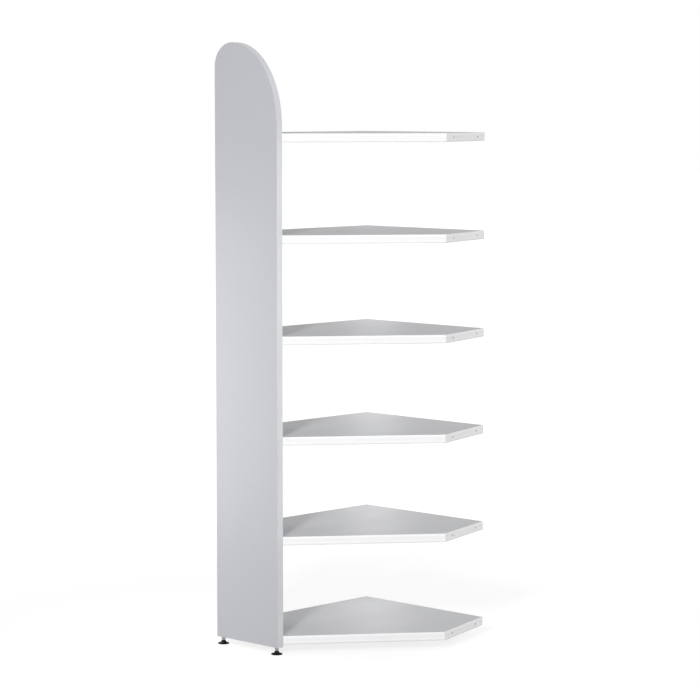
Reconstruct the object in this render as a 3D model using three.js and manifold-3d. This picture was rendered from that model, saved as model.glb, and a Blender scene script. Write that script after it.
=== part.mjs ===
// Corner shelf unit: one round-topped side panel on two levelling feet carries six
// five-sided corner shelves, held to it by cam locks. The free ends wait for the next
// panel of the run.
//
// Millimetres, +Z up. The model is drawn from the corner where the panel's inner face
// meets the room's back wall: +X runs along the back wall and -Y out into the room.
import * as THREE from 'three';
import { mergeVertices } from 'three/addons/utils/BufferGeometryUtils.js';
import Module from 'manifold-3d';

const wasm = await Module();
wasm.setup();

// Side panel
const panelThickness = 25;
const panelDepth = 312;
const panelHeight = 2116;
const panelBackCurveRadius = 85;
const panelFrontCurveHeight = 290;
const panelFrontCurveSteps = 20;
const panelBackCurveSteps = 8;

// Shelves
const shelfCount = 6;
const shelfThickness = 30;
const bottomShelfRise = 10;
const topShelfDrop = 346;
const backWallLength = 750;
const sideWallLength = 585;
const freeEndDepth = 312;
const freeEndTurn = THREE.MathUtils.degToRad(16);

// Edge band glued round the boards
const bandThickness = 2;
const bandEdgeEasing = 1;
const glueLine = 0.15;

// Cam locks
const camInset = 34;
const camWall = 2.4;
const camCapThickness = 1.2;
const camThrow = 1;
const camFacets = 12;
const camChamberSteps = 5;
const camDriveWidth = 1.6;
const camDriveLength = 8;
const camDriveDepth = 4;
const lockEdgeDistance = 60;

// Connecting bolts
const boltBallDiameter = 7;
const boltNeckDiameter = 4;
const boltShankDiameter = 7;
const boltShankToCam = 1.5;
const boltThreadDiameter = 6;
const boltThreadLength = 12;
const boltFacets = 8;
const boltBallSteps = 4;

// Levelling feet
const footEdgeDistance = 20;
const footTravel = 18;
const footFacets = 20;
const padDiameter = 40;
const padSoleThickness = 2.3;
const padRimHeight = 3.5;
const padRimChamfer = 0.8;
const padNeckWall = 2.2;
const padLipHeight = 1.4;
const padFlareSteps = 3;
const footBallDiameter = 10;
const footBallSteps = 4;
const spindleNeckDiameter = 6.4;
const spindleNeckShow = 2.9;
const hexAcrossFlats = 13;
const hexHeight = 8;
const spindleDiameter = 8;
const spindleEngagement = 20;
const insertWall = 1.7;
const insertLength = 25;
const insertFlangeOverhang = 3;
const insertFlangeThickness = 1.5;

// Clearances: a seat is where two pieces bear on each other, a running gap is round
// what turns or slides, and a drill gap is the air round a plain shank.
const seatGap = 0.3;
const runningGap = 0.3;
const drillGap = 0.5;
const overrun = 2;

// The shelves are spread evenly from the bottom one, a little above the panel's lower
// edge, to the top one, well below its top.
const shelfPitch = (panelHeight - bottomShelfRise - topShelfDrop) / (shelfCount - 1);

// The lock's sizes, worked out from the ball that it holds
const boltBallRadius = boltBallDiameter / 2;
const boltNeckRadius = boltNeckDiameter / 2;
const boltHeight = shelfThickness / 2;
const chamberRadius = boltBallRadius + runningGap;
const slotHalfHeight = boltNeckRadius + runningGap;
const camMouthRadius = chamberRadius / Math.cos(Math.PI / boltFacets);
const camRadius = chamberRadius + camThrow + camWall;
const camHeight = boltHeight + camMouthRadius + camCapThickness;
const camBoreRadius = camRadius + runningGap;
const camBoreDepth = camHeight + drillGap;
const boltBoreRadius = boltShankDiameter / 2 + drillGap;
const panelBoltBoreRadius = boltThreadDiameter / 2 + seatGap;
const bandSet = bandThickness + glueLine;

// The foot's sizes, stacked up from the floor to the panel's lower edge
const footBallRadius = footBallDiameter / 2;
const socketRadius = footBallRadius + runningGap;
const socketMouthRadius = spindleNeckDiameter / 2 + runningGap;
const socketMouthAngle = Math.asin(socketMouthRadius / socketRadius);
const ballCentreHeight = padSoleThickness + socketRadius;
const padHeight = ballCentreHeight + socketRadius * Math.cos(socketMouthAngle) + padLipHeight;
const padNeckRadius = socketRadius + padNeckWall;
const hexBottom = padHeight + spindleNeckShow;
const hexTop = hexBottom + hexHeight;
const flangeBottom = hexTop + seatGap;
const flangeTop = flangeBottom + insertFlangeThickness;
const footHeight = flangeTop + seatGap;
const insertBoreRadius = spindleDiameter / 2 + runningGap;
const insertRadius = insertBoreRadius + insertWall;
const insertTop = footHeight + insertLength;
const spindleTop = footHeight + footTravel + spindleEngagement;
const feet = [
  { name: 'foot_back', y: -footEdgeDistance },
  { name: 'foot_front', y: footEdgeDistance - panelDepth },
];

const colours = {
  board: 0xd6d7db,
  band: 0xf0f1f3,
  zinc: 0xa9abad,
  steel: 0xc3c5c7,
  black: 0x161617,
};

function material(name, roughness, metalness) {
  return new THREE.MeshStandardMaterial({ name, color: colours[name], roughness, metalness });
}

const boardMaterial = material('board', 0.5, 0);
const bandMaterial = material('band', 0.4, 0);
const zincMaterial = material('zinc', 0.5, 1);
const steelMaterial = material('steel', 0.35, 1);
const blackMaterial = material('black', 0.6, 0);

// A closed geometry as a solid that can be joined and cut.
function solid(geometry) {
  geometry.deleteAttribute('normal');
  geometry.deleteAttribute('uv');
  const merged = mergeVertices(geometry);
  return new wasm.Manifold(new wasm.Mesh({
    numProp: 3,
    vertProperties: new Float32Array(merged.attributes.position.array),
    triVerts: new Uint32Array(merged.index.array),
  }));
}

function mesh(name, body, meshMaterial) {
  const { vertProperties, triVerts } = body.getMesh();
  const geometry = new THREE.BufferGeometry();
  geometry.setAttribute('position', new THREE.BufferAttribute(vertProperties, 3));
  geometry.setIndex(new THREE.BufferAttribute(triVerts, 1));
  const flat = geometry.toNonIndexed();
  flat.computeVertexNormals();
  const made = new THREE.Mesh(flat, meshMaterial);
  made.name = name;
  return made;
}

// A prism over an outline of [x, y] points, from one height to another. An easing takes
// that much off its top and bottom edges at 45 degrees.
function prism(outline, low, high, easing = 0) {
  const shape = new THREE.Shape(outline.map(([x, y]) => new THREE.Vector2(x, y)));
  const geometry = new THREE.ExtrudeGeometry(shape, {
    depth: high - low - 2 * easing,
    bevelEnabled: easing > 0,
    bevelThickness: easing,
    bevelSize: easing,
    bevelOffset: -easing,
    bevelSegments: 1,
  });
  return solid(geometry.translate(0, 0, low + easing));
}

// A solid of revolution about Z through [radius, height] points.
function turned(profile, facets) {
  const points = profile.map(([radius, height]) => new THREE.Vector2(radius, height));
  return solid(new THREE.LatheGeometry(points, facets).rotateX(Math.PI / 2));
}

// A round rod about Z between two heights.
function rod(radius, low, high, facets) {
  return turned([[0, low], [radius, low], [radius, high], [0, high]], facets);
}

// The [radius, height] points of a ball's profile, by angles from its upper pole.
function ballProfile(centreHeight, radius, from, to, steps) {
  return Array.from({ length: steps + 1 }, (_, step) => {
    const angle = from + (to - from) * step / steps;
    return [radius * Math.sin(angle), centreHeight + radius * Math.cos(angle)];
  });
}

// Points of an arc round a centre, from one angle to another, both ends included. With a
// rise that differs from its radius it is part of an ellipse.
function arc([centreX, centreY], radius, from, to, steps, rise = radius) {
  return Array.from({ length: steps + 1 }, (_, step) => {
    const angle = from + (to - from) * step / steps;
    return [centreX + radius * Math.cos(angle), centreY + rise * Math.sin(angle)];
  });
}

// A solid turned and then moved.
function placed(body, x, y, z, turn = new THREE.Euler()) {
  const matrix = new THREE.Matrix4().makeRotationFromEuler(turn).setPosition(x, y, z);
  return body.transform(matrix.elements);
}

// A counter-clockwise outline of straight edges, set in by a distance on every edge.
function setIn(outline, distance) {
  return outline.map((corner, index) => {
    const before = outline.at(index - 1);
    const after = outline[(index + 1) % outline.length];
    const along = new THREE.Vector2(corner[0] - before[0], corner[1] - before[1]).normalize();
    const onward = new THREE.Vector2(after[0] - corner[0], after[1] - corner[1]).normalize();
    const inward = new THREE.Vector2(-along.y - onward.y, along.x + onward.x);
    const reach = distance / (1 + along.dot(onward));
    return [corner[0] + inward.x * reach, corner[1] + inward.y * reach];
  });
}

// The panel seen from its inner side, as [y, z] points: square at the floor, a small
// curve at the back of its top, and one large curve, a quarter of an upright ellipse,
// over the rest of its depth.
function panelOutline(inset, bottom) {
  const top = footHeight + panelHeight;
  const crestY = -panelBackCurveRadius;
  const backCurve = arc(
    [crestY, top - panelBackCurveRadius],
    panelBackCurveRadius - inset,
    0, Math.PI / 2, panelBackCurveSteps,
  );
  const frontCurve = arc(
    [crestY, top - panelFrontCurveHeight],
    panelDepth - panelBackCurveRadius - inset,
    Math.PI / 2, Math.PI, panelFrontCurveSteps,
    panelFrontCurveHeight - inset,
  );
  return [
    [inset - panelDepth, bottom],
    [-inset, bottom],
    ...backCurve,
    ...frontCurve.slice(1),
  ];
}

// Turns a solid drawn over a [y, z] outline so that its thickness runs along X.
function upright(body) {
  const axes = new THREE.Matrix4().makeBasis(
    new THREE.Vector3(0, 1, 0),
    new THREE.Vector3(0, 0, 1),
    new THREE.Vector3(1, 0, 0),
  );
  return body.transform(axes.elements);
}

const lockPlacesAlongPanel = [lockEdgeDistance, panelDepth - lockEdgeDistance];
const lockPlacesAlongFreeEnd = [lockEdgeDistance, freeEndDepth - lockEdgeDistance];
const depthNames = ['back', 'front'];

function shelfUnderside(level) {
  return footHeight + bottomShelfRise + level * shelfPitch;
}

const levels = Array.from({ length: shelfCount }, (_, level) => level);

// The five corners of a shelf, from the panel's back corner round the room's corner.
const sideWallEnd = [backWallLength, -sideWallLength];
const freeEndFront = [
  backWallLength - freeEndDepth * Math.cos(freeEndTurn),
  -sideWallLength - freeEndDepth * Math.sin(freeEndTurn),
];
const shelfOutline = [
  [seatGap, -panelDepth],
  freeEndFront,
  sideWallEnd,
  [backWallLength, 0],
  [seatGap, 0],
];

// Each cam lock's place in a shelf: the mouth of its bolt bore in the shelf's end face,
// and the direction from there into the shelf.
const panelLocks = lockPlacesAlongPanel.map((distance, index) => ({
  name: `panel_${depthNames[index]}`,
  mouth: [seatGap, -distance],
  inward: 0,
  open: false,
}));
const freeLocks = lockPlacesAlongFreeEnd.map((distance, index) => ({
  name: `free_${depthNames[index]}`,
  mouth: [
    sideWallEnd[0] - distance * Math.cos(freeEndTurn),
    sideWallEnd[1] - distance * Math.sin(freeEndTurn),
  ],
  inward: Math.PI / 2 + freeEndTurn,
  open: true,
}));
const locks = [...panelLocks, ...freeLocks];

function camCentre({ mouth, inward }) {
  return [mouth[0] + camInset * Math.cos(inward), mouth[1] + camInset * Math.sin(inward)];
}

// The bore that a connecting bolt slides into, from outside the end face to its cam.
function boltBore({ mouth, inward }) {
  const bore = rod(boltBoreRadius, -overrun, camInset, boltFacets);
  const towardsCam = new THREE.Euler(0, Math.PI / 2, inward, 'ZYX');
  return placed(bore, mouth[0], mouth[1], boltHeight, towardsCam);
}

// The bore that a cam sits in, up from the shelf's underside.
function camBore(lock) {
  const [x, y] = camCentre(lock);
  const bore = rod(camBoreRadius, -overrun, camBoreDepth, camFacets);
  return placed(bore, x, y, 0, new THREE.Euler(0, 0, lock.inward));
}

function shelfBand() {
  const outer = prism(shelfOutline, 0, shelfThickness, bandEdgeEasing);
  const inner = prism(setIn(shelfOutline, bandThickness), -overrun, shelfThickness + overrun);
  return locks.reduce((body, lock) => body.subtract(boltBore(lock)), outer.subtract(inner));
}

function shelfBoard() {
  return locks.reduce(
    (body, lock) => body.subtract(boltBore(lock)).subtract(camBore(lock)),
    prism(setIn(shelfOutline, bandSet), 0, shelfThickness),
  );
}

// A cam about its own axis, drawn locked, for a bolt that comes in along +X. The ball
// sits on the axis in a chamber that closes in as the cam turns. A slot for the neck
// runs half way round the wall, from the locked side to the round mouth that lets the
// ball in. A cross for the screwdriver is cut in the underside.
function camSolid() {
  const halfTurn = Math.PI;
  const reach = camRadius + overrun;
  const chamberOutline = Array.from({ length: 2 * camChamberSteps }, (_, step) => {
    const openShare = 1 - Math.abs(1 - step / camChamberSteps);
    const radius = chamberRadius + camThrow * openShare;
    const angle = halfTurn + halfTurn * step / camChamberSteps;
    return [radius * Math.cos(angle), radius * Math.sin(angle)];
  });
  const chamber = prism(chamberOutline, boltHeight - chamberRadius, boltHeight + chamberRadius);
  const slotMargin = Math.asin(slotHalfHeight / chamberRadius);
  const slotArc = arc([0, 0], reach, halfTurn - slotMargin, 2 * halfTurn, camChamberSteps);
  const slotOutline = [[0, 0], ...slotArc];
  const slot = prism(slotOutline, boltHeight - slotHalfHeight, boltHeight + slotHalfHeight);
  const towardsMouth = new THREE.Euler(0, Math.PI / 2, 0);
  const mouth = placed(rod(camMouthRadius, 0, reach, boltFacets), 0, 0, boltHeight, towardsMouth);
  const drive = (length, width) => solid(new THREE.BoxGeometry(length, width, 2 * camDriveDepth));
  return rod(camRadius, 0, camHeight, camFacets)
    .subtract(chamber)
    .subtract(slot)
    .subtract(mouth)
    .subtract(drive(camDriveLength, camDriveWidth))
    .subtract(drive(camDriveWidth, camDriveLength));
}

// A connecting bolt along +X from the panel's face: screw, shank, neck and ball.
function boltSolid() {
  const threadRadius = boltThreadDiameter / 2;
  const shankRadius = boltShankDiameter / 2;
  const ballCentre = seatGap + camInset;
  const shankEnd = ballCentre - camRadius - boltShankToCam;
  const neckAngle = Math.PI - Math.asin(boltNeckRadius / boltBallRadius);
  const profile = [
    [0, -boltThreadLength],
    [threadRadius, -boltThreadLength],
    [threadRadius, seatGap],
    [shankRadius, seatGap],
    [shankRadius, shankEnd],
    [boltNeckRadius, shankEnd],
    ...ballProfile(ballCentre, boltBallRadius, neckAngle, 0, boltBallSteps),
  ];
  return placed(turned(profile, boltFacets), 0, 0, 0, new THREE.Euler(0, Math.PI / 2, 0));
}

// The panel's board, drilled for the connecting bolts and the feet.
function panelBoard() {
  const intoPanel = new THREE.Euler(0, Math.PI / 2, 0);
  const boltDrilling = rod(
    panelBoltBoreRadius, -boltThreadLength - drillGap, overrun, boltFacets,
  );
  const boltDrillings = levels.flatMap((level) => lockPlacesAlongPanel.map(
    (distance) => placed(
      boltDrilling, 0, -distance, shelfUnderside(level) + boltHeight, intoPanel,
    ),
  ));
  const insertDrilling = rod(
    insertRadius + seatGap, footHeight - overrun, insertTop + seatGap, footFacets,
  );
  const spindleDrilling = rod(
    spindleDiameter / 2 + drillGap, footHeight - overrun, spindleTop + drillGap, footFacets,
  );
  const footDrillings = feet.map(
    ({ y }) => placed(insertDrilling.add(spindleDrilling), -panelThickness / 2, y, 0),
  );
  return [...boltDrillings, ...footDrillings].reduce(
    (body, drilling) => body.subtract(drilling),
    upright(prism(panelOutline(bandSet, footHeight), -panelThickness, 0)),
  );
}

// The band up the panel's front edge, over both curves and down the back.
function panelBand() {
  const belowFloorCut = footHeight - overrun;
  const outer = prism(panelOutline(0, belowFloorCut), -panelThickness, 0, bandEdgeEasing);
  const inner = prism(
    panelOutline(bandThickness, belowFloorCut - overrun), -panelThickness - overrun, overrun,
  );
  return upright(outer.subtract(inner)).trimByPlane([0, 0, 1], footHeight);
}

// The sleeve pressed into the panel's lower edge, with the spindle's thread in it.
function insertSolid() {
  const flangeRadius = insertRadius + insertFlangeOverhang;
  return turned([
    [insertBoreRadius, flangeBottom],
    [flangeRadius, flangeBottom],
    [flangeRadius, flangeTop],
    [insertRadius, flangeTop],
    [insertRadius, insertTop],
    [insertBoreRadius, insertTop],
    [insertBoreRadius, flangeBottom],
  ], footFacets);
}

// The spindle: a ball that sits in the pad, a neck, a hexagon for the spanner and the
// threaded rod, whose thread is left plain.
function spindleSolid() {
  const neckRadius = spindleNeckDiameter / 2;
  const neckAngle = Math.asin(neckRadius / footBallRadius);
  const rodRadius = spindleDiameter / 2;
  const tipChamfer = rodRadius / 4;
  const core = turned([
    ...ballProfile(ballCentreHeight, footBallRadius, Math.PI, neckAngle, footBallSteps),
    [neckRadius, hexBottom],
    [rodRadius, hexBottom],
    [rodRadius, spindleTop - tipChamfer],
    [rodRadius - tipChamfer, spindleTop],
    [0, spindleTop],
  ], footFacets);
  const hexagonSides = 6;
  const hexagonRadius = hexAcrossFlats / 2 / Math.cos(Math.PI / hexagonSides);
  return core.add(rod(hexagonRadius, hexBottom, hexTop, hexagonSides));
}

// The flared pad: a flat rim on the floor, a hollow cone up to its neck, and a socket
// that holds the spindle's ball.
function padSolid() {
  const rimRadius = padDiameter / 2;
  const flareFoot = rimRadius - padRimChamfer;
  const quarterTurn = Math.PI / 2;
  const flare = Array.from({ length: padFlareSteps + 1 }, (_, step) => {
    const angle = quarterTurn * step / padFlareSteps;
    return [
      flareFoot - (flareFoot - padNeckRadius) * Math.sin(angle),
      padRimHeight + (padHeight - padRimHeight) * (1 - Math.cos(angle)),
    ];
  });
  return turned([
    [0, 0],
    [rimRadius - padRimChamfer, 0],
    [rimRadius, padRimChamfer],
    [rimRadius, padRimHeight - padRimChamfer],
    ...flare,
    [socketMouthRadius, padHeight],
    ...ballProfile(ballCentreHeight, socketRadius, socketMouthAngle, Math.PI, footBallSteps),
  ], footFacets);
}

const unit = new THREE.Group();
unit.name = 'corner_shelf_unit';
unit.add(mesh('side_panel_board', panelBoard(), boardMaterial));
unit.add(mesh('side_panel_edge_band', panelBand(), bandMaterial));

const board = shelfBoard();
const band = shelfBand();
const cam = camSolid();
const bolt = boltSolid();

for (const level of levels) {
  const shelf = new THREE.Group();
  const name = `shelf_${level + 1}`;
  shelf.position.z = shelfUnderside(level);
  shelf.add(mesh(`${name}_board`, board, boardMaterial));
  shelf.add(mesh(`${name}_edge_band`, band, bandMaterial));
  for (const lock of locks) {
    const camMesh = mesh(`${name}_cam_${lock.name}`, cam, zincMaterial);
    const [x, y] = camCentre(lock);
    camMesh.position.set(x, y, 0);
    camMesh.rotation.z = lock.open ? lock.inward - Math.PI : lock.inward;
    shelf.add(camMesh);
  }
  lockPlacesAlongPanel.forEach((distance, index) => {
    const boltMesh = mesh(`${name}_bolt_${depthNames[index]}`, bolt, steelMaterial);
    boltMesh.position.set(0, -distance, boltHeight);
    shelf.add(boltMesh);
  });
  unit.add(shelf);
}

for (const { name, y } of feet) {
  const foot = new THREE.Group();
  foot.position.set(-panelThickness / 2, y, 0);
  foot.add(mesh(`${name}_insert`, insertSolid(), steelMaterial));
  foot.add(mesh(`${name}_spindle`, spindleSolid(), steelMaterial));
  foot.add(mesh(`${name}_pad`, padSolid(), blackMaterial));
  unit.add(foot);
}

// The origin is the middle of the unit's box, on the floor.
const padOverhang = Math.max(0, padDiameter / 2 - panelThickness / 2);
const left = -panelThickness - padOverhang;
const back = Math.max(0, padDiameter / 2 - footEdgeDistance);
const front = Math.min(freeEndFront[1], -sideWallLength);
unit.position.set(-(left + backWallLength) / 2, -(front + back) / 2, 0);

export default unit;
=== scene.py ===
"""A tall corner bay of modular shelving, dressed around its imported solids.

A round-topped side panel stands on two levelling feet and carries six five-sided
shelves on cam locks. Lengths are in metres, +Z is up, +X runs along the room's back
wall and -Y comes out into the room.
"""

import functools
import logging
import math
from collections.abc import Sequence
from dataclasses import dataclass, field
from enum import Enum

import bmesh
import bpy
from mathutils import Matrix, Vector


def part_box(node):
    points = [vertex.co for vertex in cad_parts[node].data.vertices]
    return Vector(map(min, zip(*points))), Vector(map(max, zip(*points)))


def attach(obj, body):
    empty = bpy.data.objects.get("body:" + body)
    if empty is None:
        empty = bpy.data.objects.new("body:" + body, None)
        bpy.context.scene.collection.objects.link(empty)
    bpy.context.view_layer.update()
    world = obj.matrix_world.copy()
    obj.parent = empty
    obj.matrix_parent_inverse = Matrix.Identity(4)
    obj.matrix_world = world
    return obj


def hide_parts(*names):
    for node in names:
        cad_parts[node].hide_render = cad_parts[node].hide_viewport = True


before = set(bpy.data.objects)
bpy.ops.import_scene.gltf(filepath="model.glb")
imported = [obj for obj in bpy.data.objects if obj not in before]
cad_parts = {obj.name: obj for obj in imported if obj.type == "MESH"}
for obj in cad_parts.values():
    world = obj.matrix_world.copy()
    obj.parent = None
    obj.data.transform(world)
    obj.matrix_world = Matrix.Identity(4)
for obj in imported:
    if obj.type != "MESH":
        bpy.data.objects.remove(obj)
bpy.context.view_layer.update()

LOG = logging.getLogger("corner_shelf_unit")
CARCASS = "carcass"
# How far a cutting tool reaches past what it cuts.
OVERRUN = 0.001
# A turned ring of a smaller radius is a single point on the axis.
POLE_RADIUS = 1e-9
# Turns a plate over a (y, z) outline so that its thickness runs along X.
STOOD_UP = Matrix(((0, 0, 1, 0), (1, 0, 0, 0), (0, 1, 0, 0), (0, 0, 0, 1)))

Piece = bpy.types.Object
BMesh = bmesh.types.BMesh
Material = bpy.types.Material
Point = tuple[float, float]
Place = tuple[float, float, float]
Colour = tuple[float, float, float, float]
Settings = dict[str, object] | None
Inputs = dict[str | int, object] | None

WHITE: Colour = (1.0, 1.0, 1.0, 1.0)


class Depth(Enum):
    """The two places across a board's depth where its hardware sits."""

    BACK = "back"
    FRONT = "front"


class End(Enum):
    """The two ends of a shelf."""

    PANEL = "panel"
    FREE = "free"


class Keep(Enum):
    """What stays of a piece where a cutting tool meets it."""

    OUTSIDE = "DIFFERENCE"
    INSIDE = "INTERSECT"


# Shader maths


class Signal:
    """A shader socket that takes part in arithmetic on values."""

    def __init__(self, shader: "Shader", socket: bpy.types.NodeSocket) -> None:
        """Wraps an output socket of one of the shader's nodes."""
        self.shader = shader
        self.socket = socket

    def _math(self, operation: str, first: "Signal | float", second: "Signal | float") -> "Signal":
        """Adds a Math node for two values and gives its result."""
        return self.shader.node("ShaderNodeMath", {"operation": operation}, {0: first, 1: second})

    def __add__(self, other: "Signal | float") -> "Signal":
        """Adds."""
        return self._math("ADD", self, other)

    __radd__ = __add__

    def __sub__(self, other: "Signal | float") -> "Signal":
        """Subtracts."""
        return self._math("SUBTRACT", self, other)

    def __rsub__(self, other: float) -> "Signal":
        """Subtracts from a number."""
        return self._math("SUBTRACT", other, self)

    def __mul__(self, other: "Signal | float") -> "Signal":
        """Multiplies."""
        return self._math("MULTIPLY", self, other)

    __rmul__ = __mul__

    def swing(self, width: float) -> "Signal":
        """Turns noise from 0 to 1 into a swing of this width about 0."""
        return (self - 0.5) * width

    def smooth(self, low: float, high: float) -> "Signal":
        """Ramps softly from 0 where the value is low to 1 where it is high."""
        limits = {"Value": self, "From Min": low, "From Max": high}
        return self.shader.node("ShaderNodeMapRange", {"interpolation_type": "SMOOTHSTEP"}, limits)


class Shader:
    """The node tree of a material or a world, written as expressions."""

    # Where a Mix node keeps its two colours and their mixture.
    COLOUR_A = 6
    COLOUR_B = 7
    COLOUR_RESULT = 2

    def __init__(self, owner: Material | bpy.types.World) -> None:
        """Empties the node tree of a material or a world.

        Args:
            owner: the material or world that the tree belongs to.
        """
        self.owner = owner
        self.owner.use_nodes = True
        self.tree = owner.node_tree
        self.tree.nodes.clear()

    @classmethod
    def of_material(cls, name: str) -> "Shader":
        """Starts a new material's tree."""
        return cls(bpy.data.materials.new(name))

    def add(self, kind: str, settings: Settings = None, sockets: Inputs = None) -> bpy.types.Node:
        """Adds a node, with its settings first and its inputs after them.

        Args:
            kind: the node's type.
            settings: its properties; "stops" holds a ramp's (place, colour) pairs.
            sockets: the values or links of its inputs.

        Returns:
            The node.
        """
        made = self.tree.nodes.new(kind)
        for key, value in (settings or {}).items():
            if key == "stops":
                self._set_stops(made.color_ramp, value)
            else:
                setattr(made, key, value)
        for key, value in (sockets or {}).items():
            if isinstance(value, Signal):
                self.tree.links.new(value.socket, made.inputs[key])
            else:
                made.inputs[key].default_value = value
        return made

    def node(
        self, kind: str, settings: Settings = None, sockets: Inputs = None, output: str | int = 0
    ) -> Signal:
        """Adds a node and gives one of its outputs, ready for expressions."""
        return Signal(self, self.add(kind, settings, sockets).outputs[output])

    @staticmethod
    def _set_stops(ramp: bpy.types.ColorRamp, stops: Sequence[tuple[float, Colour]]) -> None:
        """Fills a colour ramp.

        Args:
            ramp: the ramp, with its two first elements.
            stops: (place, colour) pairs in order.
        """
        while len(ramp.elements) < len(stops):
            ramp.elements.new(1.0)
        for element, (place, colour) in zip(ramp.elements, stops):
            element.position = place
            element.color = colour

    def place(self) -> Signal:
        """The point on the object, in metres."""
        return self.node("ShaderNodeTexCoord", output="Object")

    def noise(self, scale: float, detail: float = 2.0, place: Signal | None = None) -> Signal:
        """Fractal noise from 0 to 1, with so many repeats a metre and so many octaves."""
        inputs = {"Vector": place or self.place(), "Scale": scale, "Detail": detail}
        return self.node("ShaderNodeTexNoise", {"noise_dimensions": "3D"}, inputs, output="Fac")

    def stretched(self, factors: Place) -> Signal:
        """The point on the object, scaled along X, Y and Z."""
        inputs = {0: self.place(), 1: factors}
        return self.node("ShaderNodeVectorMath", {"operation": "MULTIPLY"}, inputs)

    def mix(self, share: Signal | float, low: Colour | Signal, high: Colour | Signal) -> Signal:
        """Mixes two colours: a share of 0 gives low and 1 gives high."""
        inputs = {0: share, self.COLOUR_A: low, self.COLOUR_B: high}
        return self.node("ShaderNodeMix", {"data_type": "RGBA"}, inputs, self.COLOUR_RESULT)

    def bump(self, height: Signal, distance: float, strength: float) -> Signal:
        """A normal that follows a height from 0 to 1, where 1 is a distance in metres."""
        inputs = {"Height": height, "Distance": distance, "Strength": strength}
        return self.node("ShaderNodeBump", None, inputs)

    def surface(self, **sockets: object) -> Material:
        """Ends the tree in a Principled surface, with underscores for its inputs' spaces."""
        named = {key.replace("_", " "): value for key, value in sockets.items()}
        return self.output(self.node("ShaderNodeBsdfPrincipled", None, named))

    def output(self, shading: Signal) -> Material | bpy.types.World:
        """Sends a shader to the tree's output.

        Args:
            shading: the shader.

        Returns:
            The finished material or world.
        """
        kind = "World" if isinstance(self.owner, bpy.types.World) else "Material"
        self.add(f"ShaderNodeOutput{kind}", None, {"Surface": shading})
        return self.owner


def grey(level: float, blue: float = 0.0) -> Colour:
    """A near-neutral colour in linear light, with its lightness and its lean to blue."""
    return (level * (1.0 - blue), level * (1.0 - 0.8 * blue), level, 1.0)


# Finishes


@dataclass(frozen=True)
class Melamine:
    """The light grey decor paper on both faces of a board: pearl flecks, faint clouds."""

    slot: str = "board"
    name: str = "melamine_shelf"
    level: float = 0.556
    blue: float = 0.035
    roughness: float = 0.43
    cloud_tones: Point = (0.985, 1.015)
    pearl_tone: float = 1.14
    dark_tone: float = 0.88

    def material(self) -> Material:
        """Builds the finish.

        Returns:
            The material.
        """
        shader = Shader.of_material(self.name)
        clouds = shader.noise(scale=2.3, detail=3.0)
        flecks = shader.noise(scale=850.0)
        orange_peel = shader.noise(scale=420.0, detail=3.0)
        wipe_marks = shader.noise(scale=1.0, detail=4.0, place=shader.stretched((3.0, 9.0, 5.0)))
        pearl_flecks = flecks.smooth(low=0.56, high=0.72) * 0.35
        dark_flecks = (1.0 - flecks).smooth(low=0.58, high=0.74) * 0.3
        plain = shader.mix(clouds, *(grey(self.level * tone, self.blue) for tone in self.cloud_tones))
        pearl = shader.mix(pearl_flecks, plain, grey(self.level * self.pearl_tone, self.blue * 0.5))
        return shader.surface(
            Base_Color=shader.mix(dark_flecks, pearl, grey(self.level * self.dark_tone, self.blue)),
            Roughness=self.roughness + wipe_marks.swing(0.09) + flecks.swing(0.06),
            Normal=shader.bump(orange_peel + flecks * 0.4, distance=0.00003, strength=0.5),
            Specular_IOR_Level=0.36,
        )


@dataclass(frozen=True)
class Chipboard:
    """The raw core that shows in bores and along unbanded edges: pressed wood flakes."""

    name: str = "chipboard_core"
    dark_wood: Colour = (0.46, 0.34, 0.22, 1.0)
    pale_wood: Colour = (0.74, 0.61, 0.45, 1.0)
    gap: Colour = (0.3, 0.2, 0.12, 1.0)

    def material(self) -> Material:
        """Builds the finish.

        Returns:
            The material.
        """
        shader = Shader.of_material(self.name)
        cells = {"Vector": shader.stretched((1.0, 1.0, 2.4)), "Scale": 420.0}
        flakes = shader.node("ShaderNodeTexVoronoi", {"feature": "F1"}, cells, output="Color")
        tone = shader.node("ShaderNodeSeparateColor", None, {0: flakes})
        dust = shader.noise(scale=1500.0, detail=3.0)
        wood = shader.mix(tone, self.dark_wood, self.pale_wood)
        return shader.surface(
            Base_Color=shader.mix(dust.smooth(low=0.55, high=0.75) * 0.6, wood, self.gap),
            Roughness=0.86 + dust.swing(0.12),
            Normal=shader.bump(tone + dust, distance=0.00025, strength=0.7),
        )


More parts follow.
